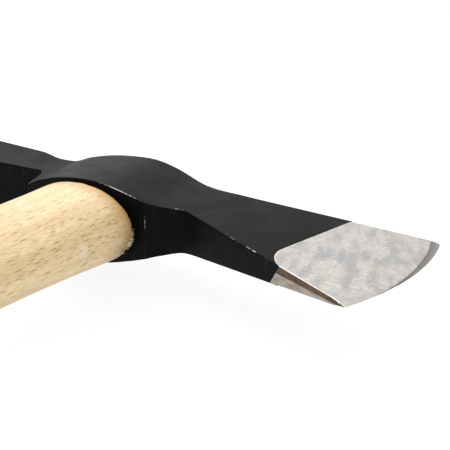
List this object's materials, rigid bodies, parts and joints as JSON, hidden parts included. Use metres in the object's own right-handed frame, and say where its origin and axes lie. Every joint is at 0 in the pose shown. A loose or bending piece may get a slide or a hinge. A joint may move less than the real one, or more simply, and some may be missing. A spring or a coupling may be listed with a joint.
{
  "type": "hand axe-adze",
  "caption": "Hand axe-adze: forged steel head with an axe bit on one arm and an adze blade across the other, wedged on a straight oval beech handle.",
  "frame": {"origin": "centre of the flat on the handle's butt, on the handle's axis", "axes": "+Y runs along the handle to the head, +X is the axe side of the head and -X the adze side, +Z is normal to the axe's cheeks"},
  "size_m": [0.3071, 0.4, 0.0592],
  "materials": {
    "forged_steel": "satin black lacquer over a drop forging, with bare ground cutting bits",
    "handle_wood": "sanded pale beech, bare",
    "wedge_wood": "sawn hardwood end grain",
    "wedge_steel": "bare mild steel"
  },
  "bodies": {
    "root": {"head": "forged_steel", "handle": "handle_wood", "wooden_wedge": "wedge_wood", "steel_wedge_left": "wedge_steel", "steel_wedge_right": "wedge_steel"}
  },
  "joints": []
}
